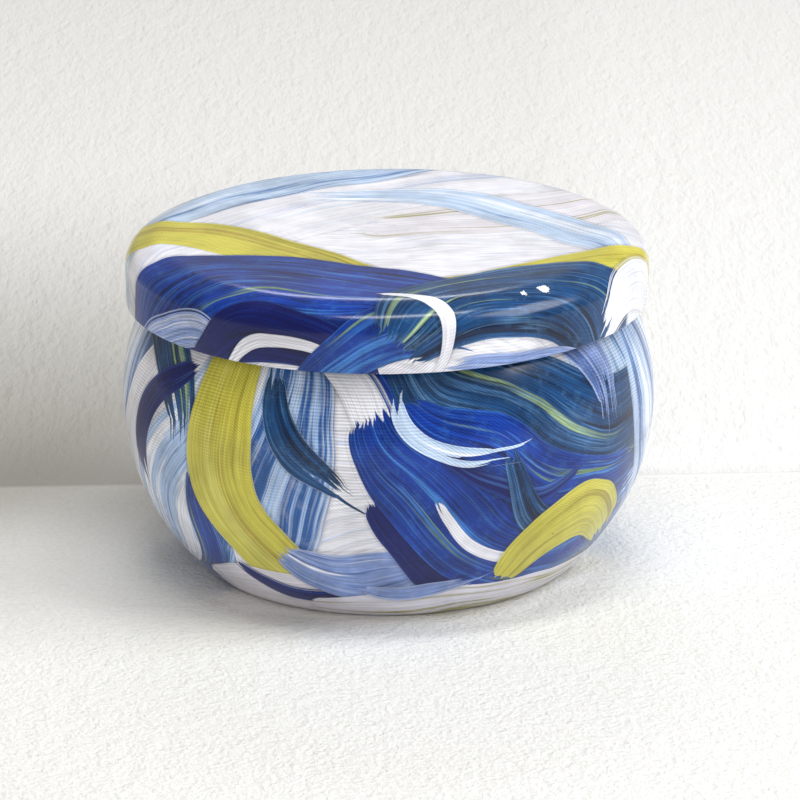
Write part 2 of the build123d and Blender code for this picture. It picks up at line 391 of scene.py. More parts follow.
def laid_strokes(tree, place, arm_to, ground_grain, ground_paint, strokes):
    """The colour of strokes laid over each other in their order. A stroke is its paint, where it
    starts and ends, its bow, half its width and the raggedness of its end, in millimetres."""
    grain = ground_grain
    low, body, high, accent = PAINTS[ground_paint]
    manner = (*HANDLING[ground_paint][:2], 0.0)
    shade = 1.0
    for seed, (paint, start, end, bow, half_width, raggedness) in enumerate(strokes, 1):
        middle, radius, begin, sweep, way = stroke_arc(start, end, bow)
        sizes = (*arm_to(middle), radius, begin, sweep, way, half_width, raggedness, float(seed))
        sockets = dict(zip(STROKE_SIZES, sizes))
        stroke = add_node(tree, "ShaderNodeGroup", sockets, node_tree=BRUSH_STROKE).outputs
        cover = stroke["Cover"]
        ridge_depth, mixing, thick_edge = HANDLING[paint]
        grain = turned_into(tree, cover, grain, stroke["Grain"])
        low, body, high, accent = (
            mixed(tree, cover, under, laid)
            for under, laid in zip((low, body, high, accent), PAINTS[paint])
        )
        edge = maths(tree, "MULTIPLY", stroke["Edge"], thick_edge)
        manner = turned_into(tree, cover, manner, joined(tree, ridge_depth, mixing, edge))
        dimmed = maths(tree, "MULTIPLY_ADD", stroke["Shadow"], -0.28, 1.0)
        shade = maths(tree, "MULTIPLY", dimmed, shade)
        shade = add_node(tree, "ShaderNodeMix", {0: cover, 2: shade, 3: 1.0}).outputs[0]
    ridge_depth, mixing, edge = split(tree, manner)
    broad = noisy(tree, grain, 0.2, 2.0, 0.5)
    ridges = noisy(tree, grain, 0.8, 4.0, 0.7)
    leftover = noisy(tree, vector_maths(tree, "ADD", grain, (7.3, 0.4, 0.0)), 0.32, 3.0, 0.75)
    streak = maths(tree, "MULTIPLY", maths(tree, "SUBTRACT", broad, 0.5), 3.0)
    streak = maths(tree, "MULTIPLY_ADD", maths(tree, "SUBTRACT", ridges, 0.5), 2.6, streak)
    streak = maths(tree, "MULTIPLY_ADD", streak, mixing, 0.5)
    colour = mixed(tree, ramped(tree, streak, -0.1, 0.35), low, body)
    colour = mixed(tree, ramped(tree, streak, 0.75, 1.2), colour, high)
    colour = mixed(tree, ramped(tree, leftover, 0.6, 0.68), colour, accent)
    # Hairlines that single bristles leave, light and dark.
    hairs = noisy(tree, grain, 2.4, 1.0, 0.5)
    fine = maths(tree, "MULTIPLY", ramped(tree, hairs, 0.56, 0.7, 0.0, 0.45), ridge_depth)
    colour = mixed(tree, fine, colour, high)
    fine = maths(tree, "MULTIPLY", ramped(tree, hairs, 0.3, 0.44, 0.5, 0.0), ridge_depth)
    colour = mixed(tree, fine, colour, low)
    # Scumbled over with a nearly dry brush, and unevenly thick.
    scumble = noisy(tree, place, 420.0, 5.0, 0.75)
    scumble = maths(tree, "MULTIPLY", ramped(tree, scumble, 0.5, 0.66, 0.0, 0.2), ridge_depth)
    colour = mixed(tree, scumble, colour, high)
    colour = mixed(tree, edge, colour, high)
    uneven = ramped(tree, noisy(tree, place, 130.0, 3.0, 0.6), 0.3, 0.7, -0.3, 0.3)
    shade = maths(tree, "MULTIPLY_ADD", uneven, ridge_depth, shade)
    # Ridges of thick paint, lit from one side.
    step = vector_maths(tree, "ADD", grain, (0.16, 0.0, 0.0))
    lit, unlit = (noisy(tree, point, 1.5, 2.0, 0.6) for point in (grain, step))
    lit = maths(tree, "SUBTRACT", lit, unlit)
    relief = maths(tree, "MULTIPLY", maths(tree, "MULTIPLY", lit, 2.4), ridge_depth)
    return vector_maths(tree, "SCALE", colour, maths(tree, "ADD", relief, shade))


def warped(tree, place, scale, amount):
    """How far a slow noise moves a place in metres, in millimetres."""
    sockets = {"Vector": place, "Scale": scale, "Detail": 0.7}
    wave = add_node(tree, "ShaderNodeTexNoise", sockets).outputs[1]
    centred = vector_maths(tree, "SUBTRACT", wave, (0.5, 0.5, 0.5))
    return vector_maths(tree, "SCALE", centred, amount)


BELLY_R, SHEET_T = 38.5, 0.25
FOOT_R, FOOT_W, FOOT_SLOPE_W, BASE_RISE, BASE_BEND_R = 25.96, 2.6, 1.0, 0.8, 0.5
FOOT_BEND_R, FOOT_TURN = 2.2, 41.2
LOWER_R, UPPER_R, NECK_BEND_R, NECK_TURN = 32.51, 29.3, 2.0, 28.72
NECK_H, CURL_R, CURL_TURN = 4.54, 0.97, 300


def tangent_run(radius, turn):
    """How far a bend reaches along each of its two straights."""
    return radius * math.tan(math.radians(abs(turn)) / 2)


BASE_SLOPE = math.degrees(math.atan2(BASE_RISE, FOOT_SLOPE_W))
BASE_RUN = tangent_run(BASE_BEND_R, BASE_SLOPE)
BODY_STEPS = [
    FOOT_R - FOOT_W - FOOT_SLOPE_W - BASE_RUN,
    (BASE_BEND_R, -BASE_SLOPE),
    math.hypot(FOOT_SLOPE_W, BASE_RISE) - 2 * BASE_RUN,
    (BASE_BEND_R, BASE_SLOPE),
    FOOT_W - BASE_RUN,
    (FOOT_BEND_R, FOOT_TURN),
    (LOWER_R, 90 - FOOT_TURN),
    (UPPER_R, NECK_TURN),
    (NECK_BEND_R, -NECK_TURN),
    NECK_H,
    (CURL_R, -CURL_TURN),
]
SHEET_SEGMENTS, DENT_DEPTH = 192, 0.03 * MM
SCREEN_PITCH, CROSS_PITCH = 0.46, 0.62


def finish_print(tree, surface, place, reach, colour, lines_from, lines_to):
    """Prints a colour under satin varnish. Fine lines left by the printing screen and the drawing
    show more and more from one distance along the sheet to another."""
    strained = maths(tree, "MULTIPLY", reach, math.tau / SCREEN_PITCH)
    strained = maths(tree, "MULTIPLY_ADD", noisy(tree, place, 170.0), 5.0, strained)
    crossing = math.tau / (CROSS_PITCH * MM)
    crossing = maths(tree, "MULTIPLY_ADD", split(tree, place)["X"], crossing, strained)
    lines, crossing = (maths(tree, "SINE", phase) for phase in (strained, crossing))
    patchy = ramped(tree, noisy(tree, place, 70.0), 0.4, 0.6)
    lines = add_node(tree, "ShaderNodeMix", {0: patchy, 2: lines, 3: crossing}).outputs[0]
    strength = ramped(tree, reach, lines_from, lines_to, 0.03, 0.19)
    colour = vector_maths(tree, "SCALE", colour, maths(tree, "MULTIPLY_ADD", lines, strength, 1.0))
    sockets = {"Vector": place, "Scale": 260.0}
    specks = add_node(tree, "ShaderNodeTexVoronoi", sockets, feature="F1").outputs
    dot = ramped(tree, specks["Distance"], 0.03, 0.05, 1.0, 0.0)
    lot = add_node(tree, "ShaderNodeSeparateColor", {0: specks["Color"]}).outputs[0]
    dot = maths(tree, "MULTIPLY", dot, maths(tree, "GREATER_THAN", lot, 0.93))
    smears = ramped(tree, noisy(tree, place, 120.0, 3.0), 0.3, 0.7, 0.26, 0.34)
    varnish = {"Specular IOR Level": 0.1, "Coat Weight": 0.6, "Coat Roughness": 0.17}
    colour = mixed(tree, dot, colour, (0.02, 0.02, 0.025))
    plug(tree, surface, {"Base Color": colour, "Roughness": smears, **varnish})
    bumped(tree, surface, noisy(tree, place, 1500.0, 1.0), 0.1, 0.00004)


def on_disc(tree):
    """Each point's place on the flat printed disc, in millimetres."""
    kept = {"attribute_name": "disc", "attribute_type": "GEOMETRY"}
    return add_node(tree, "ShaderNodeAttribute", **kept).outputs["Vector"]


def tin_print():
    """The printed and varnished outside of the body. The paint strokes lie on the wall unrolled at
    the belly, right across and up the sheet, so they have no seam."""
    material, tree, surface, place = new_material("tin_print")
    xyz = split(tree, place)
    reach = vector_maths(tree, "LENGTH", on_disc(tree))
    bearing = maths(tree, "ARCTAN2", xyz["X"], maths(tree, "MULTIPLY", xyz["Y"], -1.0))
    slow = split(tree, warped(tree, place, 45.0, 11.0))
    quick = split(tree, warped(tree, place, 200.0, 0.4))
    moved = maths(tree, "ADD", slow["X"], quick["X"])
    round_it = maths(tree, "MULTIPLY_ADD", bearing, BELLY_R, moved)
    up_it = maths(tree, "ADD", reach, maths(tree, "ADD", slow["Y"], quick["Y"]))

    def arm_to(middle):
        half_round = math.pi * BELLY_R
        aside = maths(tree, "SUBTRACT", round_it, middle.x)
        aside = maths(tree, "WRAP", aside, half_round, -half_round)
        return aside, maths(tree, "SUBTRACT", up_it, middle.y)

    level = (maths(tree, "MULTIPLY", xyz[axis], 60.0) for axis in "XY")
    ground = joined(tree, up_it, *level)
    strokes = [
        # Left of the front: a wide marbled fan, and what was laid on it.
        ("sky", (-112, 66), (-70, 28), 9, 12, 24),
        ("marbled", (-52, 76), (-82, 27), 9, 12, 22),
        ("marbled", (-18, 78), (-56, 26), 10, 15, 20),
        ("periwinkle", (-70, 33), (-30, 34), -5, 5, 22),
        ("white", (-40, 76), (-62, 40), 5, 3.5, 30),
        ("teal", (-62, 72), (-34, 60), 7, 5, 24),
        ("navy", (-33, 69), (-44, 48), -3, 2.2, 20),
        ("cobalt", (-30, 52), (-44, 32), 5, 2.6, 24),
        ("white", (-25, 50), (-34, 30), 4, 1.2, 22),
        ("lemon", (-23, 77), (-8, 31), -9, 6.5, 9),
        ("teal", (-17, 70), (-8, 52), -2, 2.4, 24),
        ("straw", (-38, 30), (40, 31), 3, 7.5, 12),
        ("navy", (-27, 38), (-9, 36), -2, 1.5, 14),
        ("periwinkle", (-17, 44), (8, 39), -4, 4.5, 16),
        ("white", (-10, 78), (3, 50), 4, 5.5, 30),
        ("cobalt", (-5, 76), (6, 58), 2, 1.5, 26),
        # The big blue sweep right of the front, and what it was pulled over.
        ("sky", (36, 78), (70, 30), -8, 12, 22),
        ("navy", (-2, 50), (41, 40), -10, 5.5, 10),
        ("teal", (4, 77), (58, 60), -11, 9, 18),
        ("cobalt", (1, 64), (47, 47), -11, 12.5, 14),
        ("periwinkle", (16, 77), (36, 63), 4, 4, 28),
        ("navy", (8, 57), (30, 53), -4, 1.3, 20),
        ("teal", (18, 55), (40, 46), -5, 2.4, 20),
        ("sky", (3, 66), (15, 55), -3, 1.5, 26),
        ("white", (7, 49), (34, 45), -6, 1.0, 18),
        ("straw", (-16, 31), (62, 33), -3, 6, 14),
        ("periwinkle", (-6, 36), (14, 36), -2, 1.4, 22),
        ("lemon", (20, 36), (44, 40), 7, 5, 8),
        ("white", (40, 29), (56, 60), -6, 3, 20),
        ("marbled", (52, 76), (82, 30), -9, 11, 24),
        ("navy", (62, 74), (70, 50), 2, 2.2, 18),
        # The back.
        ("periwinkle", (94, 76), (116, 52), 6, 7, 26),
        ("cobalt", (82, 70), (112, 34), 9, 11, 18),
        ("lemon", (102, 31), (128, 64), -6, 6, 10),
        ("teal", (136, 76), (162, 54), 8, 7, 24),
        ("navy", (112, 44), (146, 35), 6, 5, 16),
    ]
    colour = laid_strokes(tree, place, arm_to, ground, "white", strokes)
    finish_print(tree, surface, place, reach, colour, 38.0, 62.0)
    return material


def tinplate(name):
    """Lacquered tinplate: silver grey, with the fine lines that rolling leaves."""
    material, tree, surface, place = new_material(name)
    rolled = vector_maths(tree, "MULTIPLY", place, (9000.0, 260.0, 260.0))
    lines = noisy(tree, rolled, 1.0, 3.0, 0.6)
    tint = mixed(tree, noisy(tree, place, 90.0, 3.0), (0.56, 0.55, 0.53), (0.72, 0.72, 0.71))
    rough = ramped(tree, lines, 0.3, 0.7, 0.26, 0.42)
    plug(tree, surface, {"Base Color": tint, "Metallic": 1.0, "Roughness": rough})
    bumped(tree, surface, lines, 0.12, 0.0001)
    return material


LACQUERED_TIN = tinplate("lacquered_tinplate")
tin_body = run_geometry_tree(
    "tin_shell",
    sheet_outline("tin_section", (0, BASE_RISE), BODY_STEPS, SHEET_T),
    SPUN_SHEET,
    Segments=SHEET_SEGMENTS,
    Dent_depth=DENT_DEPTH,
    Dent_seed=3.0,
    Outside=tin_print(),
    Inside=LACQUERED_TIN,
)
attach(tin_body, "tin")
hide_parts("tin_body")


# Talcum powder: a loose white fill against the tin's inside. It has settled below the sifter with
# a slightly uneven top.
POWDER_TOP_Z, POWDER_WALL_GAP, POWDER_RINGS = 25.55, 0.1, 36


def spun_mesh(name, profile, segments, height=None):
    """A closed mesh spun from (radius, height) points in millimetres that begin and end on the
    axis, with the outside on the right. height may move a point: (x, y, z) to a new z."""
    rings = profile[1:-1]
    points = [(0.0, 0.0, profile[0][1]), (0.0, 0.0, profile[-1][1])]
    for radius, z in rings:
        for i in range(segments):
            turn = math.tau * i / segments
            points.append((radius * math.cos(turn), radius * math.sin(turn), z))
    if height:
        points = [(x, y, height(x, y, z)) for x, y, z in points]
    faces = []
    last = 2 + (len(rings) - 1) * segments
    for i in range(segments):
        after = (i + 1) % segments
        faces.append((0, 2 + after, 2 + i))
        faces.append((1, last + i, last + after))
        for ring in range(len(rings) - 1):
            low = 2 + ring * segments
            faces.append((low + i, low + after, low + segments + after, low + segments + i))
    mesh = new_mesh(name, points, [], faces)
    mesh.shade_smooth()
    return mesh


def settled(x, y, z):
    """Lets the powder's top dip where it was shaken."""
    if z < POWDER_TOP_Z - 0.2:
        return z
    dip = 0.5 + 0.5 * noise.noise(Vector((x * 0.09, y * 0.09, 2.0)))
    crumbs = 0.5 + 0.5 * noise.noise(Vector((x * 0.9, y * 0.9, 5.0)))
    return z - 1.1 * dip - 0.25 * crumbs


def refinish(piece, material):
    """Gives a piece one material."""
    piece.data.materials.clear()
    piece.data.materials.append(material)


def new_piece(name, mesh, material, body, slot, *nodes):
    """A piece at the origin that rides on a body and stands for CAD nodes."""
    piece = new_object(name, mesh)
    refinish(piece, material)
    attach(piece, body)
    if nodes:
        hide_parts(*nodes)
    return piece


talc, tree, surface, place = new_material("talc_fill")
clumps = noisy(tree, place, 900.0, 4.0, 0.65)
tint = mixed(tree, clumps, (0.76, 0.75, 0.73), (0.88, 0.88, 0.87))
plug(tree, surface, {"Base Color": tint, "Roughness": 0.95, "Specular IOR Level": 0.2})
bumped(tree, surface, clumps, 0.8, 0.0006)

against_wall = [
    point
    for point in walk((0, BASE_RISE), BODY_STEPS, SHEET_T + POWDER_WALL_GAP)
    if point[1] < POWDER_TOP_Z
]
top_r = against_wall[-1][0] / POWDER_RINGS
powder_outline = against_wall + [(top_r * k, POWDER_TOP_Z) for k in range(POWDER_RINGS, -1, -1)]
talc_mesh = spun_mesh("talc", powder_outline, 120, settled)
new_piece("talc", talc_mesh, talc, "tin", "talc", "powder")


# Sifter: a thin moulded plastic dish with rings of holes for the talc. It hangs by its lip on
# the curled rim, and lifts out for refilling.
moulded, tree, surface, place = new_material("moulded_ivory")
haze = noisy(tree, place, 160.0, 3.0)
scuffs = ramped(tree, noisy(tree, place, 700.0, 4.0, 0.7), 0.35, 0.7, 0.28, 0.48)
tint = mixed(tree, haze, (0.74, 0.73, 0.68), (0.82, 0.81, 0.77))
glow = {"Subsurface Weight": 0.15, "Subsurface Radius": (0.0012, 0.001, 0.0008)}
plug(tree, surface, {"Base Color": tint, "Roughness": scuffs, **glow})
bumped(tree, surface, haze, 0.15, 0.0004)
refinish(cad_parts["sifter"], moulded)


# Puff: a round pad with a velour face and a satin back, sewn together round a foam filling. The
# seam is bound with satin cord, and a satin ribbon across the back is its handle.
PUFF_R, PUFF_LOW_Z, PUFF_SEAM_Z, PUFF_TOP_Z = 32.4, 31.07, 39.4, 40.95
SEAM_R, GATHERS, PUFFING_FRAMES = 31.7, 58, 20


def puffed(mesh, stretch, voxel, most, pinned):
    """Blows a closed cover up as cloth and returns it as a new mesh. stretch scales it to a size
    that cloth simulates well at; most is how far a point may move, and pinned says which don't."""
    mesh.transform(Matrix.Scale(stretch, 4))
    cover = new_object("cover", mesh)
    even = cover.modifiers.new("even", "REMESH")
    even.mode = "VOXEL"
    even.voxel_size = voxel * stretch
    bpy.context.view_layer.update()
    cover.data = finished_mesh(cover)
    cover.modifiers.clear()
    before = [vertex.co.copy() for vertex in cover.data.vertices]
    seam = cover.vertex_groups.new(name="seam")
    seam.add([i for i, co in enumerate(before) if pinned(co / stretch)], 1.0, "REPLACE")
    cloth = cover.modifiers.new("puffed", "CLOTH")
    cloth.settings.vertex_group_mass = "seam"
    cloth.settings.use_pressure = True
    cloth.settings.uniform_pressure_force = 4.0
    cloth.settings.shrink_min = -0.04
    cloth.settings.effector_weights.gravity = 0.0
    cloth.point_cache.frame_start, cloth.point_cache.frame_end = 1, PUFFING_FRAMES
    for step in range(1, PUFFING_FRAMES + 1):
        bpy.context.scene.frame_set(step)
    blown = finished_mesh(cover)
    cover.modifiers.clear()
    for vertex, old, new in zip(cover.data.vertices, before, blown.vertices):
        moved = new.co - old
        vertex.co = old + moved * min(1.0, most * stretch / max(moved.length, 1e-9))
    bpy.context.scene.frame_set(1)
    result = cover.data
    bpy.data.objects.remove(cover)
    result.transform(Matrix.Scale(1 / stretch, 4))
    return result


def on_seam(co):
    """Whether a point of the pad lies on its seam."""
    return abs(co.z - PUFF_SEAM_Z * MM) < 0.6 * MM and math.hypot(co.x, co.y) > 30.5 * MM


pad_outline = [(0.0, 31.7), (12.0, 31.6), (24.0, 31.7), (28.5, 32.3), (30.6, 33.8), (31.4, 35.8)]
pad_outline += [(31.6, 38.0), (SEAM_R, PUFF_SEAM_Z), (30.0, 40.0), (20.0, 40.35), (8.0, 40.4)]
pad_outline += [(0.0, 40.4)]
pad = spun_mesh("pad", pad_outline, 96)
pad = puffed(pad, stretch=10.0, voxel=1.1 * MM, most=0.7 * MM, pinned=on_seam)


def gathered(x, y, z):
    """The pad's surface pulled into small gathers beside its seam, and flat on the sifter."""
    radius = math.hypot(x, y)
    turn = math.atan2(y, x)
    near = math.exp(-(((z - PUFF_SEAM_Z) / 1.5) ** 2)) * min(1.0, max(0.0, (radius - 24.0) / 7.0))
    ripple = math.cos(GATHERS * turn + 2.5 * noise.noise(Vector((x * 0.2, y * 0.2, 0.0))))
    radius_now = min(radius * (1 + 0.006 * ripple * near), PUFF_R)
    z += 0.16 * ripple * near * (1 if z > PUFF_SEAM_Z else -1)
    grow = radius_now / max(radius, 1e-9)
    return x * grow, y * grow, min(max(z, PUFF_LOW_Z), PUFF_TOP_Z)


for vertex in pad.vertices:
    vertex.co = Vector(gathered(*(vertex.co / MM))) * MM


def half_of_pad(name, upper):
    """The pad above or below its seam."""
    part = pad.copy()
    part.name = name
    work = bmesh.new()
    work.from_mesh(part)
    bmesh.ops.bisect_plane(
        work,
        geom=work.verts[:] + work.edges[:] + work.faces[:],
        plane_co=(0.0, 0.0, PUFF_SEAM_Z * MM),
        plane_no=(0.0, 0.0, 1.0),
        clear_inner=upper,
        clear_outer=not upper,
    )
    work.to_mesh(part)
    work.free()
    part.shade_smooth()
    return part


def thicken(piece, thickness, side):
    """Gives a cover its thickness, outwards (1) or inwards (-1)."""
    solid = piece.modifiers.new("thickness", "SOLIDIFY")
    solid.thickness = thickness
    solid.offset = side


def smoothed(piece):
    """Rounds off a cover's facets."""
    smooth = piece.modifiers.new("smooth", "SUBSURF")
    smooth.levels = smooth.render_levels = 1


velour, tree, surface, place = new_material("velour_pile")
pile = noisy(tree, place, 2600.0, 3.0, 0.75)
brushed = ramped(tree, noisy(tree, place, 110.0, 3.0, 0.6), 0.3, 0.7, 0.0, 0.5)
tint = mixed(tree, pile, (0.5, 0.56, 0.7), (0.8, 0.84, 0.92))
tint = mixed(tree, brushed, tint, (0.84, 0.87, 0.94))
plug(tree, surface, {"Base Color": tint, "Roughness": 0.9, "Specular IOR Level": 0.2})
plug(tree, surface, {"Sheen Weight": 0.7, "Sheen Roughness": 0.4})
bumped(tree, surface, pile, 0.9, 0.0006)


def satin(name, low, high, threads):
    """Satin weave: fine floats along one direction, with a soft sheen across them."""
    material, tree, surface, place = new_material(name)
    floats = noisy(tree, vector_maths(tree, "MULTIPLY", place, threads), 1.0, 2.0, 0.6)
    plug(tree, surface, {"Base Color": mixed(tree, floats, low, high), "Roughness": 0.36})
    plug(tree, surface, {"Sheen Weight": 0.35, "Sheen Roughness": 0.3})
    bumped(tree, surface, floats, 0.3, 0.0002)
    return material


blue_satin = satin("satin_back", (0.16, 0.27, 0.55), (0.3, 0.42, 0.7), (900.0, 7000.0, 900.0))
white_satin = satin("satin_ribbon", (0.72, 0.74, 0.8), (0.86, 0.87, 0.91), (900.0, 9000.0, 900.0))

foam, tree, surface, place = new_material("puff_foam")
sockets = {"Vector": place, "Scale": 1500.0}
cells = add_node(tree, "ShaderNodeTexVoronoi", sockets).outputs["Distance"]
# Darker at the middle of each cell: painted shade in the pores of the foam.
tint = mixed(tree, ramped(tree, cells, 0.1, 0.6), (0.55, 0.5, 0.36), (0.78, 0.74, 0.6))
plug(tree, surface, {"Base Color": tint, "Roughness": 0.95})

foam_outline = [(0, 33.2), (26, 33.2), (28.6, 34.0), (29.5, 35.6), (29.4, 37.4), (28.2, 38.5)]
foam_outline += [(22, 38.9), (0, 39.0)]
foam_mesh = spun_mesh("foam_filling", foam_outline, 72)
core = new_piece("foam_filling", foam_mesh, foam, "puff", "puff_foam", "puff_core")

face_mesh = half_of_pad("velour_face", upper=False)
face = new_piece("velour_face", face_mesh, velour, "puff", "velour", "puff_face")
thicken(face, 0.8 * MM, -1.0)
smoothed(face)
back_mesh = half_of_pad("satin_cover", upper=True)
back = new_piece("satin_cover", back_mesh, blue_satin, "puff", "satin", "puff_back")
thicken(back, 0.25 * MM, -1.0)
smoothed(back)

CORD_R, CORD_PLIES, CORD_TWISTS, CORD_SIDES, CORD_STEPS = 0.5, 3, 70, 18, 980
CORD_RING_R, CORD_Z = 31.75, PUFF_SEAM_Z + 0.05


def cord_point(step, side):
    """A point on a cord of twisted plies laid round the seam."""
    turn = math.tau * step / CORD_STEPS
    around = math.tau * side / CORD_SIDES
    ply = math.cos(CORD_PLIES * (around - CORD_TWISTS * turn))
    thick = CORD_R * (1 + 0.15 * ply)
    radius = CORD_RING_R + thick * math.cos(around)
    return radius * math.cos(turn), radius * math.sin(turn), CORD_Z + thick * math.sin(around)


cord_faces = []
for i in range(CORD_STEPS):
    here, ahead = i * CORD_SIDES, (i + 1) % CORD_STEPS * CORD_SIDES
    for k in range(CORD_SIDES):
        after = (k + 1) % CORD_SIDES
        cord_faces.append((here + k, ahead + k, ahead + after, here + after))
cord_points = [cord_point(i, k) for i in range(CORD_STEPS) for k in range(CORD_SIDES)]
cord_mesh = new_mesh("edge_binding", cord_points, [], cord_faces)
cord_mesh.shade_smooth()
new_piece("edge_binding", cord_mesh, blue_satin, "puff", "satin")

RIBBON_L, RIBBON_W, RIBBON_T, RIBBON_STEPS, RIBBON_ROWS = 58.4, 14.0, 0.3, 73, 19


def ribbon_height(x, y):
    """How high the ribbon's underside lies: sewn down at its ends and slack between them."""
    share = abs(x) / (RIBBON_L / 2)
    slack = 1 - share**4
    lift = 0.35 * math.cos(x * 0.12) * slack + 0.06 * math.sin(x * 0.4 + y * 0.2) * slack
    return PUFF_TOP_Z + lift - 0.35 * share**8 + 0.05 * (y / 7) ** 2


ribbon_points = [
    (x, y, ribbon_height(x, y))
    for x in np.linspace(-RIBBON_L / 2, RIBBON_L / 2, RIBBON_STEPS)
    for y in np.linspace(-RIBBON_W / 2, RIBBON_W / 2, RIBBON_ROWS)
]
ribbon_faces = [
    (k, k + RIBBON_ROWS, k + RIBBON_ROWS + 1, k + 1)
    for k in range((RIBBON_STEPS - 1) * RIBBON_ROWS)
    if (k + 1) % RIBBON_ROWS
]
ribbon_mesh = new_mesh("ribbon_handle", ribbon_points, [], ribbon_faces)
ribbon_mesh.shade_smooth()
ribbon = new_piece("ribbon_handle", ribbon_mesh, white_satin, "puff", "ribbon_satin", "puff_ribbon")
thicken(ribbon, RIBBON_T * MM, 1.0)


def stitches_tree():
    """Lays rows of stitches along the edges of a mesh: each stitch is a length of thread that dips
    into the cloth at both ends."""
    sizes = ["Pitch", "Stitch length", "Thread radius"]
    tree, given = new_geometry_tree("Stitches", Float=sizes, Material=["Thread"])
    rows = add_node(tree, "GeometryNodeMeshToCurve", {0: given["Geometry"]}).outputs[0]
    sockets = {"Curve": rows, "Length": given["Pitch"]}
    rows = add_node(tree, "GeometryNodeResampleCurve", sockets, mode="LENGTH").outputs[0]
    points = add_node(tree, "GeometryNodeCurveToPoints", {0: rows}, mode="EVALUATED").outputs
    sockets = {"Vector": points["Tangent"]}
    lying = add_node(tree, "FunctionNodeAlignEulerToVector", sockets, axis="X").outputs[0]
    half = maths(tree, "MULTIPLY", given["Stitch length"], 0.5)
    dip = maths(tree, "MULTIPLY", given["Thread radius"], -1.0)
    thread = add_node(
        tree,
        "GeometryNodeCurveQuadraticBezier",
        {
            "Resolution": 6,
            "Start": joined(tree, maths(tree, "MULTIPLY", half, -1.0), 0.0, dip),
            "Middle": joined(tree, 0.0, 0.0, maths(tree, "MULTIPLY", dip, -1.6)),
            "End": joined(tree, half, 0.0, dip),
        },
    ).outputs[0]
    sockets = {"Resolution": 7, "Radius": given["Thread radius"]}
    section = add_node(tree, "GeometryNodeCurvePrimitiveCircle", sockets).outputs[0]
    sockets = {"Curve": thread, "Profile Curve": section, "Fill Caps": True}
    stitch = add_node(tree, "GeometryNodeCurveToMesh", sockets).outputs[0]
    sockets = {"Points": points["Points"], "Instance": stitch, "Rotation": lying}
    laid = add_node(tree, "GeometryNodeInstanceOnPoints", sockets).outputs[0]
    close_geometry_tree(tree, laid, given["Thread"])
    return tree


BOX_OUTER_X, BOX_INNER_X, BOX_HALF_W = 28.3, 25.0, 5.9
box_points, box_edges = [], []
for end in (-1, 1):
    first = len(box_points)
    for x, side in ((BOX_OUTER_X, -1), (BOX_OUTER_X, 1), (BOX_INNER_X, 1), (BOX_INNER_X, -1)):
        x, y = end * x, side * BOX_HALF_W
        box_points.append((x, y, ribbon_height(x, y) + RIBBON_T))
    box_edges += [(first + k, first + (k + 1) % 4) for k in range(4)]
box_mesh = new_mesh("box_stitch_path", box_points, box_edges, [])
box_stitches = run_geometry_tree(
    "box_stitches",
    box_mesh,
    stitches_tree(),
    Pitch=1.9 * MM,
    Stitch_length=1.5 * MM,
    Thread_radius=0.15 * MM,
    Thread=blue_satin,
)
box_stitches.data.shade_smooth()
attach(box_stitches, "puff")


# Lid wad: a disc of soft grey-white board. It is pressed up under the lid's panel, and seals on
# the sifter's lip.
board, tree, surface, place = new_material("pulpboard")
fibres = noisy(tree, place, 900.0, 5.0, 0.7)
tint = mixed(tree, fibres, (0.62, 0.6, 0.55), (0.8, 0.79, 0.75))
plug(tree, surface, {"Base Color": tint, "Roughness": 0.85})
refinish(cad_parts["lid_wad"], board)


# Lid: a shallow drawn cap of the same printed tinplate, with a sloping shoulder and an edge
# hemmed inwards. It slips over the neck.
LID_TOP_Z, LID_H = 49.0, 9.55
PANEL_R, SHOULDER_W, SHOULDER_DROP = 33.1, 4.54, 2.0
PANEL_BEND_R, CREASE_BEND_R, HEM_BEND_R, HEM_H = 5.5, 3.4, 0.3, 1.7
LID_SLOPE = math.degrees(math.atan2(SHOULDER_DROP, SHOULDER_W))
PANEL_RUN = tangent_run(PANEL_BEND_R, LID_SLOPE)
CREASE_RUN = tangent_run(CREASE_BEND_R, 90 - LID_SLOPE)
LID_STEPS = [
    PANEL_R - PANEL_RUN,
    (PANEL_BEND_R, -LID_SLOPE),
    math.hypot(SHOULDER_W, SHOULDER_DROP) - PANEL_RUN - CREASE_RUN,
    (CREASE_BEND_R, LID_SLOPE - 90),
    LID_H - SHOULDER_DROP - CREASE_RUN - HEM_BEND_R,
    (HEM_BEND_R, -180),
    HEM_H,
]


